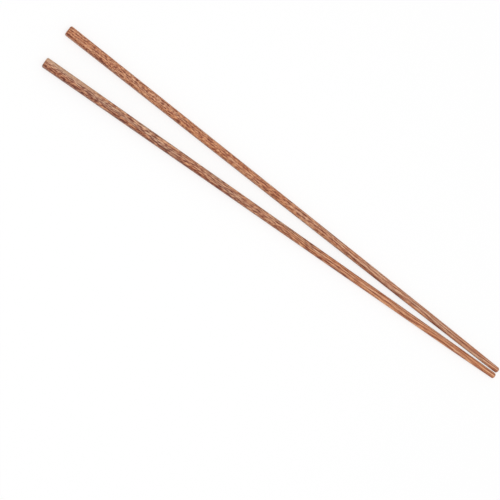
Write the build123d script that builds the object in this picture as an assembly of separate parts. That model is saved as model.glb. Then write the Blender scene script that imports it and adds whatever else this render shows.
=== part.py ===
from build123d import *
import math
import os

# A pair of long cooking chopsticks, each one length of hard wood. The handle is square with
# rounded corners. Its four flats narrow all the way down and run out at the neck, where the
# stick has become round, and the round tip curves in from there to a blunt end.
#
# Millimetres, +Z up. Both sticks lie on one flat on the plane Z = 0, in a narrow V with the
# tips together at +X. The origin is the centre of the pair's footprint.

# Driving dimensions of one stick
FLATS_LENGTH = 315.0  # from the butt to the neck, where the flats run out
TIP_LENGTH = 105.0  # from the neck to the end of the tip
BUTT_SIDE = 7.4  # across the flats at the butt
BUTT_CORNER_RADIUS = 1.8  # the handle's long corners, at the butt
NECK_DIAMETER = 6.1  # round section at the neck
TIP_DIAMETER = 4.6  # round section at the tip
BUTT_EDGE_RADIUS = 1.3  # softened rim of the butt
TIP_EDGE_RADIUS = 1.2  # softened rim of the tip

# Driving dimensions of the lay
BUTT_SPREAD = 28.8  # between the two axes at the butts
TIP_GAP = 0.6  # clear space between the two tips

# Sizes that follow
STICK_LENGTH = FLATS_LENGTH + TIP_LENGTH
BUTT_HALF = BUTT_SIDE / 2
FLAT_HALF = BUTT_HALF - BUTT_CORNER_RADIUS
NECK_RADIUS = NECK_DIAMETER / 2
TIP_RADIUS = TIP_DIAMETER / 2
FLAT_SLOPE = math.degrees(math.atan((BUTT_HALF - NECK_RADIUS) / FLATS_LENGTH))


def handle():
    """Square at the butt and round at the neck, standing on the butt along +Z.

    Each flat is a triangle with its base on the butt and its point on the neck circle. Each
    corner is ruled from the butt's corner arc to a quarter of the neck circle. Both arcs turn
    through the same quarter, so the corner runs out of its two flats without a crease.
    """
    base = Line((BUTT_HALF, -FLAT_HALF, 0), (BUTT_HALF, FLAT_HALF, 0))
    sides = Polyline(base @ 1, (NECK_RADIUS, 0, FLATS_LENGTH), base @ 0)
    butt_arc = CenterArc((FLAT_HALF, FLAT_HALF, 0), BUTT_CORNER_RADIUS, 0, 90).edge()
    neck_arc = CenterArc((0, 0, FLATS_LENGTH), NECK_RADIUS, 0, 90).edge()
    flat = make_face([base, sides]).face()
    corner = Face.make_surface_from_curves(butt_arc, neck_arc)

    quarters = [Rot(0, 0, 90 * quarter) for quarter in range(4)]
    walls = [turn * wall for turn in quarters for wall in (flat, corner)]
    butt_rim = [turn * edge for turn in quarters for edge in (base.edge(), butt_arc)]
    neck_rim = [turn * neck_arc for turn in quarters]
    ends = [make_face(butt_rim).face(), make_face(neck_rim).face()]
    return Solid(Shell(walls + ends))


def tip():
    """The round end, turned about +Z: its outline leaves the neck along the flats and is one
    arc to the tip, whose rim is rounded."""
    neck = (NECK_RADIUS, FLATS_LENGTH)
    end = (TIP_RADIUS, STICK_LENGTH)
    outline = [
        Line((0, FLATS_LENGTH), neck),
        TangentArc(neck, end, tangent=(NECK_RADIUS - BUTT_HALF, FLATS_LENGTH)),
        Line(end, (0, STICK_LENGTH)),
        Line((0, STICK_LENGTH), (0, FLATS_LENGTH)),
    ]
    section = make_face(outline)
    rim = section.vertices().group_by(Axis.Y)[-1].sort_by(Axis.X)[-1]
    return revolve(Plane.XZ * fillet(rim, TIP_EDGE_RADIUS), Axis.Z)


def chopstick():
    """One stick, standing on its butt along +Z."""
    stick = handle() + tip()
    return fillet(stick.edges().group_by(Axis.Z)[0], BUTT_EDGE_RADIUS)


def laid(stick, side):
    """The stick on the plane Z = 0, butt at X = 0, on the side +1 or -1 of the pair's line.

    It goes down a little past level, by the slope of the flats, so that the flat under it is
    level, and then turns in until the tips are a gap apart.
    """
    tip_spread = TIP_DIAMETER + TIP_GAP
    turn_in = math.degrees(math.asin((BUTT_SPREAD - tip_spread) / 2 / STICK_LENGTH))
    lift = BUTT_HALF * math.cos(math.radians(FLAT_SLOPE))
    place = Pos(0, side * BUTT_SPREAD / 2, lift) * Rot(0, 0, -side * turn_in)
    return place * Rot(0, 90 + FLAT_SLOPE, 0) * stick


one_stick = chopstick()
pair = {
    "upper_chopstick": laid(one_stick, +1),
    "lower_chopstick": laid(one_stick, -1),
}
middle = Compound(list(pair.values())).bounding_box().center()

os.makedirs("parts", exist_ok=True)
for node, stick in pair.items():
    export_step(Pos(-middle.X, -middle.Y, 0) * stick, f"parts/{node}.step")
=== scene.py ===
import math

import bpy
import numpy as np
from mathutils import Matrix, Vector


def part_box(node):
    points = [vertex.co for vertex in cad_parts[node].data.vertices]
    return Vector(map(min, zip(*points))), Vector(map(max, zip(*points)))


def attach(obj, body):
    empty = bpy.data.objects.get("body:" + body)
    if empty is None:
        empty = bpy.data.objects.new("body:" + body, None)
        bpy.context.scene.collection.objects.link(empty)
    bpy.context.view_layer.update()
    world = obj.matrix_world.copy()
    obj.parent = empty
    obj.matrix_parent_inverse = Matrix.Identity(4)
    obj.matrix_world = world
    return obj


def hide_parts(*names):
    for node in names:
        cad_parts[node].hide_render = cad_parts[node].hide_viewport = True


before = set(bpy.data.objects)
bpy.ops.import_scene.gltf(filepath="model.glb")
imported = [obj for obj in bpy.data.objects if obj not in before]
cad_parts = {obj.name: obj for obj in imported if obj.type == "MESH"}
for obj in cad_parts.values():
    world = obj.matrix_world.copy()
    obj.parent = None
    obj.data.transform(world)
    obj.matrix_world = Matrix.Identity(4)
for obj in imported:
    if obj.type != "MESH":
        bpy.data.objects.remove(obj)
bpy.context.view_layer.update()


# Upper chopstick
# One length of open-grained brown hardwood: planed square with a long taper, its corners rounded
# over more and more until the tip is round, then sanded and oiled. It lies on one of its flats.

MM = 0.001

FLATS_LENGTH = 315.0 * MM  # from the butt to the neck, where the flats run out
TIP_LENGTH = 105.0 * MM  # from the neck to the end of the tip
BUTT_SIDE = 7.4 * MM
BUTT_CORNER_RADIUS = 1.8 * MM
NECK_DIAMETER = 6.1 * MM
TIP_DIAMETER = 4.6 * MM
BUTT_EDGE_RADIUS = 1.3 * MM
TIP_EDGE_RADIUS = 1.2 * MM
BUTT_SPREAD = 28.8 * MM  # between the two axes at the butts
TIP_GAP = 0.6 * MM

STICK_LENGTH = FLATS_LENGTH + TIP_LENGTH
FLAT_SLOPE = math.atan((BUTT_SIDE - NECK_DIAMETER) / 2 / FLATS_LENGTH)
TURN_IN = math.asin((BUTT_SPREAD - TIP_DIAMETER - TIP_GAP) / 2 / STICK_LENGTH)

RINGS_ALONG = 240
RINGS_ON_RIM = 7
RINGS_ON_END = 6
POINTS_AROUND = 96


def section_at(x):
    """The rounded square at x from the butt: half the flat's width and the corner's radius.

    Along the handle the flat shrinks to nothing while the corner's radius grows to the neck's,
    both in proportion to x. Past the neck only the radius is left, and it follows the circle that
    leaves the neck along the taper and passes through the end of the tip.
    """
    share = np.clip(x / FLATS_LENGTH, 0, 1)
    flat = (BUTT_SIDE / 2 - BUTT_CORNER_RADIUS) * (1 - share)
    corner = BUTT_CORNER_RADIUS + (NECK_DIAMETER / 2 - BUTT_CORNER_RADIUS) * share

    inward = np.array([-math.sin(FLAT_SLOPE), -math.cos(FLAT_SLOPE)])
    chord = np.array([TIP_LENGTH, (TIP_DIAMETER - NECK_DIAMETER) / 2])
    bend = chord @ chord / (2 * chord @ inward)
    centre = np.array([FLATS_LENGTH, NECK_DIAMETER / 2]) + bend * inward
    turned = centre[1] + np.sqrt(bend**2 - (x - centre[0]) ** 2)
    return flat, np.where(x > FLATS_LENGTH, turned, corner)


def stick_rings():
    """Place, flat and corner radius of every ring, from the butt's end face to the tip's.

    The end faces are one section scaled down towards the middle. On the rims the corner radius is
    drawn in by the rim's radius less its quarter circle, so the rim is rounded all the way round.
    """
    quarter = np.linspace(0, math.pi / 2, RINGS_ON_RIM)
    butt_x = BUTT_EDGE_RADIUS * (1 - np.cos(quarter))
    butt_inset = BUTT_EDGE_RADIUS * (1 - np.sin(quarter))
    tip_x = STICK_LENGTH - TIP_EDGE_RADIUS * (1 - np.sin(quarter))
    tip_inset = TIP_EDGE_RADIUS * (1 - np.cos(quarter))
    side_x = np.linspace(BUTT_EDGE_RADIUS, STICK_LENGTH - TIP_EDGE_RADIUS, RINGS_ALONG)[1:-1]

    x = np.concatenate([butt_x, side_x, tip_x])
    flat, corner = section_at(x)
    corner = corner - np.concatenate([butt_inset, np.zeros_like(side_x), tip_inset])

    spread = np.linspace(0, 1, RINGS_ON_END + 1)[1:-1]
    x = np.concatenate([np.full_like(spread, x[0]), x, np.full_like(spread, x[-1])])
    flat = np.concatenate([flat[0] * spread, flat, flat[-1] * spread[::-1]])
    corner = np.concatenate([corner[0] * spread, corner, corner[-1] * spread[::-1]])
    return x[:, None], flat[:, None], corner[:, None]


def round_section(flat, corner, quarters):
    """Points round a square of half-width flat that is rounded by the radius corner.

    Each quarter runs at an even pace from the middle of one flat to the middle of the next: half
    a flat, the corner's arc, half a flat. The other three are the first one turned.
    """
    arc = corner * math.pi / 2
    pace = (quarters % 1) * (2 * flat + arc)
    turn = np.clip((pace - flat) / corner, 0, math.pi / 2)
    out = flat + corner * np.cos(turn) - np.clip(pace - flat - arc, 0, flat)
    side = np.clip(pace, 0, flat) + corner * np.sin(turn)
    facing = np.floor(quarters) * math.pi / 2
    return (out * np.cos(facing) - side * np.sin(facing),
            out * np.sin(facing) + side * np.cos(facing))


def stick_faces(rings):
    """Level and column of each face's corners: the quads, the butt's fan and the tip's fan.

    Level 0 is the middle of the butt's end face, the rings are levels 1 to their number, and the
    level after them is the middle of the tip's end face.
    """
    column = np.arange(POINTS_AROUND)
    level, start = np.meshgrid(np.arange(1, rings), column, indexing="ij")
    level, start = level.reshape(-1, 1), start.reshape(-1, 1)
    quads = level + np.array([0, 0, 1, 1]), start + np.array([0, 1, 1, 0])
    fan = column.reshape(-1, 1)
    butt = fan * 0 + np.array([0, 1, 1]), fan + np.array([0.5, 1, 0])
    tip = fan * 0 + rings + np.array([1, 0, 0]), fan + np.array([0.5, 0, 1])
    return quads, butt, tip


BAKE_STRIPS = 4
BAKE_MARGIN = 0.004  # empty edge of a strip, as a share of the map


def strip_places(levels, columns, travel):
    """Places of faces' corners on a flat square: the stick cut into strips laid side by side.

    The travel along the stick's outline runs up a strip and the way round the stick runs across
    it. A face belongs to the strip that the middle of its band of faces falls in.
    """
    middle = (travel[1:] + travel[:-1]) / 2
    strip_of_band = np.floor(BAKE_STRIPS * middle / travel[-1]).astype(int)
    edges = np.flatnonzero(np.diff(strip_of_band)) + 1
    start = travel[np.concatenate([[0], edges])]
    stop = travel[np.concatenate([edges, [len(travel) - 1]])]
    strip = strip_of_band[levels.min(axis=1)][:, None]
    rise = (travel[levels] - start[strip]) / (stop - start)[strip]
    run = columns / POINTS_AROUND
    wide = 1 / BAKE_STRIPS - 2 * BAKE_MARGIN
    return np.stack([strip / BAKE_STRIPS + BAKE_MARGIN + run * wide,
                     BAKE_MARGIN + rise * (1 - 2 * BAKE_MARGIN)], -1).reshape(-1, 2)


def make_stick(name, node, side):
    """One stick as a mesh, laid where its CAD node lies, and the place of its butt.

    The stick goes down by the slope of its flats, so that the flat under it is level, turns in by
    half the V, from the side of the pair that it lies on, and moves until the middle of its box is
    the middle of the node's.
    """
    x, flat, corner = stick_rings()
    quarters = np.arange(POINTS_AROUND)[None, :] * 4 / POINTS_AROUND
    across, up = round_section(flat, corner, quarters)
    rings = np.stack([np.broadcast_to(x, across.shape), across, up], -1)
    ends = np.array([[x[0, 0], 0, 0], [x[-1, 0], 0, 0]])

    lay = np.array(Matrix.Rotation(-side * TURN_IN, 3, "Z") @ Matrix.Rotation(FLAT_SLOPE, 3, "Y"))
    points = np.concatenate([rings.reshape(-1, 3), ends]) @ lay.T
    low, high = np.array(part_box(node))
    place = (low + high) / 2 - (points.min(axis=0) + points.max(axis=0)) / 2

    faces, layout = [], []
    outline = np.concatenate([ends[:1], rings[:, 0], ends[1:]])
    travel = np.concatenate([[0], np.cumsum(np.linalg.norm(np.diff(outline, axis=0), axis=1))])
    for levels, columns in stick_faces(len(rings)):
        index = (levels - 1) * POINTS_AROUND + np.floor(columns).astype(int) % POINTS_AROUND
        index = np.where(levels == 0, rings[..., 0].size, index)
        index = np.where(levels > len(rings), rings[..., 0].size + 1, index)
        faces += index.tolist()
        layout.append(strip_places(levels, columns, travel))

    mesh = bpy.data.meshes.new(name)
    mesh.from_pydata((points + place).tolist(), [], faces)
    mesh.polygons.foreach_set("use_smooth", np.ones(len(mesh.polygons), bool))
    mesh.uv_layers.new(name="OFBake").data.foreach_set("uv", np.concatenate(layout).ravel())
    mesh.update()
    stick = bpy.data.objects.new(name, mesh)
    bpy.context.scene.collection.objects.link(stick)
    return stick, Vector(place)


class Field:
    """A socket of a material's node tree. Arithmetic on it adds Math nodes."""

    def __init__(self, tree, socket=None):
        self.tree = tree
        self.socket = socket

    def node(self, kind, settings=(), inputs=(), output=0):
        """One output of a new node: its settings come first, then its sockets' values or links."""
        made = self.tree.nodes.new(kind)
        for key, value in dict(settings).items():
            if key == "stops":
                stops = made.color_ramp.elements
                while len(stops) < len(value):
                    stops.new(1.0)
                for stop, (at, colour) in zip(stops, value):
                    stop.position = at
                    stop.color = colour
            else:
                setattr(made, key, value)
        for key, value in dict(inputs).items():
            if isinstance(value, Field):
                self.tree.links.new(value.socket, made.inputs[key])
            else:
                made.inputs[key].default_value = value
        return Field(self.tree, made.outputs[output]) if made.outputs else made

    def math(self, operation, *terms):
        """A Math node of an operation on values and numbers."""
        return self.node("ShaderNodeMath", {"operation": operation}, enumerate(terms))

    def __add__(self, other):
        return self.math("ADD", self, other)

    def __sub__(self, other):
        return self.math("SUBTRACT", self, other)

    def __rsub__(self, other):
        return self.math("SUBTRACT", other, self)

    def __mul__(self, other):
        return self.math("MULTIPLY", self, other)

    __radd__ = __add__
    __rmul__ = __mul__

    def sine(self):
        """The sine of this value, in radians."""
        return self.math("SINE", self)

    def axis(self, number):
        """One of the three numbers of this place: 0, 1 or 2 for X, Y or Z."""
        return self.node("ShaderNodeSeparateXYZ", inputs={0: self}, output=number)

    def moved(self, shift):
        """This place moved by a value on each axis that shift names by its number."""
        offset = self.node("ShaderNodeCombineXYZ", inputs=shift)
        return self.node("ShaderNodeVectorMath", {"operation": "ADD"}, {0: self, 1: offset})

    def noise(self, sizes, seed, detail):
        """Smooth noise from 0 to 1 over this place, its grains as large as the three sizes say."""
        finer = tuple(1 / size for size in sizes)
        place = self.node("ShaderNodeVectorMath", {"operation": "MULTIPLY"}, {0: self, 1: finer})
        return self.node("ShaderNodeTexNoise", {"noise_dimensions": "4D"},
                         {"Vector": place, "W": seed, "Scale": 1.0, "Detail": detail})

    def step(self, start, stop, low=0.0, high=1.0):
        """A smooth rise from low to high as this value goes from start to stop."""
        return self.node("ShaderNodeMapRange", {"interpolation_type": "SMOOTHSTEP"},
                         {"Value": self, "From Min": start, "From Max": stop,
                          "To Min": low, "To Max": high})

    def blend(self, first, second):
        """The first colour where this value is 0 and the second where it is 1."""
        return self.node("ShaderNodeMix", {"data_type": "RGBA"}, {0: self, 6: first, 7: second}, 2)


def paint(red, green, blue):
    """A colour written as a screen shows it, from 0 to 255, as linear light.

    A screen's value is raised to the power 2.4 after a small offset, and divided near black.
    """
    screen = np.array([red, green, blue]) / 255
    light = np.where(screen <= 0.04045, screen / 12.92, ((screen + 0.055) / 1.055) ** 2.4)
    return (*light.tolist(), 1.0)


WARM_WOOD = [
    (0.00, paint(227, 168, 124)),
    (0.30, paint(204, 141, 99)),
    (0.55, paint(179, 111, 75)),
    (0.80, paint(144, 78, 50)),
    (1.00, paint(109, 49, 30)),
]
DRY_WOOD = [
    (0.00, paint(222, 186, 153)),
    (0.30, paint(198, 152, 125)),
    (0.55, paint(164, 116, 93)),
    (0.80, paint(126, 76, 59)),
    (1.00, paint(95, 54, 41)),
]
# Pale tan of the far flat where it catches the light: painted light
LIT_FLAT_TAN = paint(200, 160, 130)
PORE_BROWN = paint(88, 42, 28)

# Sizes of the wood's marks in millimetres: along the stick, through the growth layers and over
# them. A width leaves out the first of the three.
WANDER_SIZES = (70, 16, 16)
SWING_SIZES = (7, 1.6, 1.6)
STREAK_SIZES = (35, 3, 3)
FIBRE_SIZES = (9, 0.22, 0.4)
FLECK_WIDTHS = (0.5, 0.6)
PORE_WIDTHS = (0.16, 0.2)
LAYER_WIDTH = 1.6
LAYER_SLIP = 6  # radians by which the streaks put the layers out of step
CALM_SWING = 0.3  # millimetres of quick swing where the wood isn't figured
FLECK_EDGE = (0.36, 0.64)  # levels of the noise between which a fleck sets in
PORE_EDGE = (0.60, 0.66)

# Places in millimetres between which the end grain and the painted lit strip set in
BUTT_END_GRAIN = (1.4, 0.2)  # from the butt's end face
TIP_END_GRAIN = (1.2, 0.2)  # from the tip's end face
LIT_FLAT_EDGE = (0.2, 1.8)  # from the stick's axis to its far side
LIT_FLAT_EDGE_SWING = 2  # how far the quick swing moves that edge
LIT_FLAT_FADE = 25  # the length over which the strip ends

# What each mark adds to the darkness, on the scale of the two ramps of wood
LAYER_TONE = 0.25
LAYER_TONE_LOST = 0.15  # how much of that is gone where the wood is figured
FLECK_TONE = 0.36
FIGURED_FLECK_TONE = 0.6  # beside the dashes
FIBRE_TONE = 0.5
STREAK_TONE = -0.3
END_TONE = 0.1

# What adds to the dryness: 0 is the warm ramp and 1 the dry one
DRY_ALL_OVER = 0.13
DRY_STRETCH = 0.42
DRY_STREAK = 2.6
# The far side greyer and the near side warmer: a painted sheen across the stick
PAINTED_SHEEN_GREYING = 1.2
DRY_END = -0.4  # end grain takes up more oil

# The cover of the painted lit strip and of the pores, and the oiled surface
LIT_FLAT_COVER = 0.7
PORE_COVER = 0.6
PORE_DEPTH = 0.05 * MM
FLECK_RELIEF = 0.2  # as a share of a pore's depth
FIBRE_RELIEF = 0.3
RELIEF_STRENGTH = 0.5
OILED_ROUGHNESS = 0.5
PORE_ROUGHNESS = 0.2  # more than the oiled wood's
FLECK_ROUGHNESS = 0.08
OILED_SPECULAR = 0.3


def wood(name, place, side, roll, seed, fleck_at_butt, fleck_at_tip, fleck_depth, feather,
         wander_reach, swing, figure_rise, figure_fall,
         dry_from, dry_to, warm_depth, dry_depth, painted_side_light, lit_flat_reach):
    """Oiled open-grained hardwood, cut from the solid: the pattern fills the stick's own space.

    Places are in millimetres along the stick from its butt and across it, and then turned about
    the stick's axis by roll, which sets how the growth layers stand in the section. The grain's
    place is that place moved through the layers by a slow wander times wander_reach and by a quick
    swing, which is larger where the wood is figured: that sets in over figure_rise and goes again
    over figure_fall. The flecks' place is the grain's with its pace along the stick falling evenly,
    from 1 at the butt to fleck_at_butt / fleck_at_tip at the tip, so that short flecks are drawn
    out into lines. Every fibre also moves its share of a fleck along the grain, by up to half of
    feather, so the flecks end in feathers. Pores are thin dark lines, drawn out in the same way.

    The darkness goes from warm_depth to dry_depth where the dry stretch sets in, between dry_from
    and dry_to, and even growth layers, flecks and fine fibres add to it. Where the wood is
    figured, the layers times the flecks add dashes, with the strength fleck_depth. Streaks of the
    wood and the dry stretch are greyer than the rest, and the streaks paler too. Light and shade
    are painted across the stick by painted_side_light a millimetre: the far side is greyer, a
    painted sheen, and in the dry stretch paler, painted light, while the near side there is
    darker, painted shade. A pale plain strip, painted where the far flat catches the light, can
    run along the far side from the butt as far as lit_flat_reach.
    """
    material = bpy.data.materials.new(name)
    material.use_nodes = True
    material.node_tree.nodes.clear()
    start = Field(material.node_tree)

    spot = start.node("ShaderNodeTexCoord", output="Object")
    spot = start.node("ShaderNodeMapping", {"vector_type": "TEXTURE"},
                      {"Vector": spot, "Location": place, "Scale": (MM, MM, MM),
                       "Rotation": (0, FLAT_SLOPE, -side * TURN_IN)})
    along = spot.axis(0)
    across = spot.axis(1)
    plank = start.node("ShaderNodeMapping", inputs={"Vector": spot, "Rotation": (roll, 0, 0)})

    figured = along.step(*figure_rise) * along.step(*figure_fall)
    wander = plank.noise(WANDER_SIZES, seed, detail=1) - 0.5
    quick = plank.noise(SWING_SIZES, seed + 1, detail=1) - 0.5
    grain = plank.moved({1: wander * wander_reach + quick * (CALM_SWING + swing * figured)})
    fibres = grain.noise(FIBRE_SIZES, seed + 4, detail=2) - 0.5
    slowing = (fleck_at_butt / fleck_at_tip - 1) * MM / STICK_LENGTH
    drawn = grain.moved({0: along * along * (slowing / 2) + fibres * feather})

    streaks = grain.noise(STREAK_SIZES, seed + 2, detail=2) - 0.5
    layers = (grain.axis(1) * (2 * math.pi / LAYER_WIDTH) + streaks * LAYER_SLIP).sine()
    flecks = drawn.noise((fleck_at_butt, *FLECK_WIDTHS), seed + 3, detail=2)
    flecks = flecks.step(*FLECK_EDGE) - 0.5
    pores = drawn.noise((fleck_at_butt, *PORE_WIDTHS), seed + 5, detail=0).step(*PORE_EDGE)
    dashes = (layers * 0.5 + 0.5) * (flecks + 0.5) - 0.25

    stretch = along.step(dry_from, dry_to)
    ends = along.step(*BUTT_END_GRAIN) + (STICK_LENGTH / MM - along).step(*TIP_END_GRAIN)
    # A pale strip along the far flat near the butt: a painted highlight where that flat catches the
    # light
    lit_flat = (across + quick * LIT_FLAT_EDGE_SWING).step(*LIT_FLAT_EDGE)
    lit_flat = lit_flat * along.step(lit_flat_reach, lit_flat_reach - LIT_FLAT_FADE)

    # In the dry stretch, paler towards the far side and darker towards the near side: painted light
    # and shade
    dark = (warm_depth + stretch * (dry_depth - warm_depth - across * painted_side_light)
            + layers * (LAYER_TONE - figured * LAYER_TONE_LOST) + flecks * FLECK_TONE
            + (flecks * FIGURED_FLECK_TONE + dashes) * figured * fleck_depth
            + fibres * FIBRE_TONE + streaks * STREAK_TONE + ends * END_TONE)
    # Greyer towards the far side: a painted sheen
    dryness = (DRY_ALL_OVER + stretch * DRY_STRETCH + streaks * DRY_STREAK
               + across * painted_side_light * PAINTED_SHEEN_GREYING + ends * DRY_END)
    warm = start.node("ShaderNodeValToRGB", {"stops": WARM_WOOD}, {0: dark})
    dry = start.node("ShaderNodeValToRGB", {"stops": DRY_WOOD}, {0: dark})
    # The painted lit strip laid over the wood's colour
    colour = (lit_flat * LIT_FLAT_COVER).blend(dryness.blend(warm, dry), LIT_FLAT_TAN)
    colour = (pores * PORE_COVER).blend(colour, PORE_BROWN)

    relief = start.node("ShaderNodeBump", inputs={
        "Strength": RELIEF_STRENGTH, "Distance": PORE_DEPTH,
        "Height": 1 - pores - flecks * FLECK_RELIEF - fibres * FIBRE_RELIEF})
    finish = start.node("ShaderNodeBsdfPrincipled", inputs={
        "Base Color": colour, "Normal": relief, "Specular IOR Level": OILED_SPECULAR,
        "Roughness": OILED_ROUGHNESS + pores * PORE_ROUGHNESS + flecks * FLECK_ROUGHNESS})
    start.node("ShaderNodeOutputMaterial", inputs={"Surface": finish})
    return material


UPPER_SIDE = +1  # of the pair, along Y

upper_stick, upper_butt = make_stick("upper_stick", "upper_chopstick", UPPER_SIDE)
upper_stick.data.materials.append(
    wood("upper_wood", upper_butt, UPPER_SIDE, roll=math.radians(30), seed=186.9,
         fleck_at_butt=1.9, fleck_at_tip=25, fleck_depth=0.4, feather=4,
         wander_reach=5, swing=1.6, figure_rise=(-30, 50), figure_fall=(340, 120),
         # a faint painted sheen and painted shade across the stick, and no painted lit strip
         dry_from=150, dry_to=300, warm_depth=0.53, dry_depth=0.46, painted_side_light=0.01, lit_flat_reach=0))
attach(upper_stick, "root")
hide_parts("upper_chopstick")


# Lower chopstick
# The same stick from another plank of the same wood. This one is drier towards the butt, where a
# pale plain strip is painted along its far side for the light on that flat, and its near side
# has painted shade.

LOWER_SIDE = -1

lower_stick, lower_butt = make_stick("lower_stick", "lower_chopstick", LOWER_SIDE)
lower_stick.data.materials.append(
    wood("lower_wood", lower_butt, LOWER_SIDE, roll=math.radians(25), seed=19.9,
         fleck_at_butt=2.6, fleck_at_tip=30, fleck_depth=0.7, feather=6,
         wander_reach=9, swing=0.5, figure_rise=(-20, 0), figure_fall=(330, 180),
         # the stronger painted sheen and painted shade across the stick, and the painted lit strip
         dry_from=340, dry_to=100, warm_depth=0.45, dry_depth=0.64, painted_side_light=0.05, lit_flat_reach=55))
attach(lower_stick, "root")
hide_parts("lower_chopstick")


# Floor
# A plain white studio table, wide enough to run past every view. It takes the sticks' soft shadow.

FLOOR_HALF = 6.0  # metres
FLOOR_GLOW = 0.7  # how much of the white that the camera sees is the table's own
TABLE_WHITE = (0.97, 0.97, 0.97, 1)
PURE_WHITE = (1, 1, 1, 1)
WHITE_STRENGTH = 1.0  # at which pure white is seen as white

floor_corners = np.array([[-1, -1, 0], [1, -1, 0], [1, 1, 0], [-1, 1, 0]]) * FLOOR_HALF
floor_mesh = bpy.data.meshes.new("floor")
floor_mesh.from_pydata(floor_corners.tolist(), [], [[0, 1, 2, 3]])
floor = bpy.data.objects.new("floor", floor_mesh)
bpy.context.scene.collection.objects.link(floor)


def seen_directly(start):
    """1 for what the camera sees, straight on or in a gloss or a glass, and 0 for other light."""
    kinds = [start.node("ShaderNodeLightPath", output=kind)
             for kind in ("Is Camera Ray", "Is Glossy Ray", "Is Transmission Ray")]
    return (kinds[0] + kinds[1] + kinds[2]).step(0, 1)


white_table = bpy.data.materials.new("white_table")
white_table.use_nodes = True
white_table.node_tree.nodes.clear()
table = Field(white_table.node_tree)
matt = table.node("ShaderNodeBsdfDiffuse", inputs={"Color": TABLE_WHITE})
glow = table.node("ShaderNodeEmission",
                  inputs={"Color": PURE_WHITE, "Strength": WHITE_STRENGTH})
surface = table.node("ShaderNodeMixShader",
                     inputs={0: seen_directly(table) * FLOOR_GLOW, 1: matt, 2: glow})
table.node("ShaderNodeOutputMaterial", inputs={"Surface": surface})
floor_mesh.materials.append(white_table)


# Studio light
# One large soft lamp above the sticks, a little towards the butts and the lower stick, and an even
# white room.

LAMP_PLACE = Vector((-0.1, -0.1, 1.5))  # metres
LAMP_SIDE = 1.2
LAMP_WATTS = 11.2
ROOM_LIGHT = 0.62  # strength of the room's light on the sticks, while the camera sees it white

lamp_data = bpy.data.lights.new("soft_lamp", "AREA")
lamp_data.shape = "SQUARE"
lamp_data.size = LAMP_SIDE
lamp_data.energy = LAMP_WATTS
lamp = bpy.data.objects.new("soft_lamp", lamp_data)
lamp.location = LAMP_PLACE
lamp.rotation_euler = LAMP_PLACE.to_track_quat("Z", "Y").to_euler()
bpy.context.scene.collection.objects.link(lamp)

room = bpy.data.worlds.new("white_room")
room.use_nodes = True
room.node_tree.nodes.clear()
air = Field(room.node_tree)
level = seen_directly(air).step(0, 1, ROOM_LIGHT, WHITE_STRENGTH)
sky = air.node("ShaderNodeBackground", inputs={"Color": PURE_WHITE, "Strength": level})
air.node("ShaderNodeOutputWorld", inputs={"Surface": sky})
bpy.context.scene.world = room


# Camera
# It looks down on the sticks from a long way up, leaning towards the butts and the lower stick,
# and turned so that the pair runs from the upper left of the picture to the lower right.

LEAN_TO_BUTTS = math.radians(12.0)
LEAN_TO_LOWER = math.radians(10.0)
CAMERA_TURN = math.radians(36.17)
CAMERA_DISTANCE = 0.9  # metres
CAMERA_AIM = Vector((-8.6 * MM, -35.8 * MM, 0))
CAMERA_LENS = 86.9  # focal length in millimetres

back = Vector((-math.tan(LEAN_TO_BUTTS), -math.tan(LEAN_TO_LOWER), 1)).normalized()
along_pair = Vector((1, 0, 0))
along_pair = (along_pair - back * along_pair.dot(back)).normalized()
across_pair = back.cross(along_pair)
right = along_pair * math.cos(CAMERA_TURN) + across_pair * math.sin(CAMERA_TURN)
up = back.cross(right)

camera_data = bpy.data.cameras.new("camera")
camera_data.lens = CAMERA_LENS
camera = bpy.data.objects.new("camera", camera_data)
pose = Matrix((right, up, back)).transposed().to_4x4()
pose.translation = CAMERA_AIM + back * CAMERA_DISTANCE
camera.matrix_world = pose
bpy.context.scene.collection.objects.link(camera)
bpy.context.scene.camera = camera
bpy.context.scene.view_settings.view_transform = "Standard"
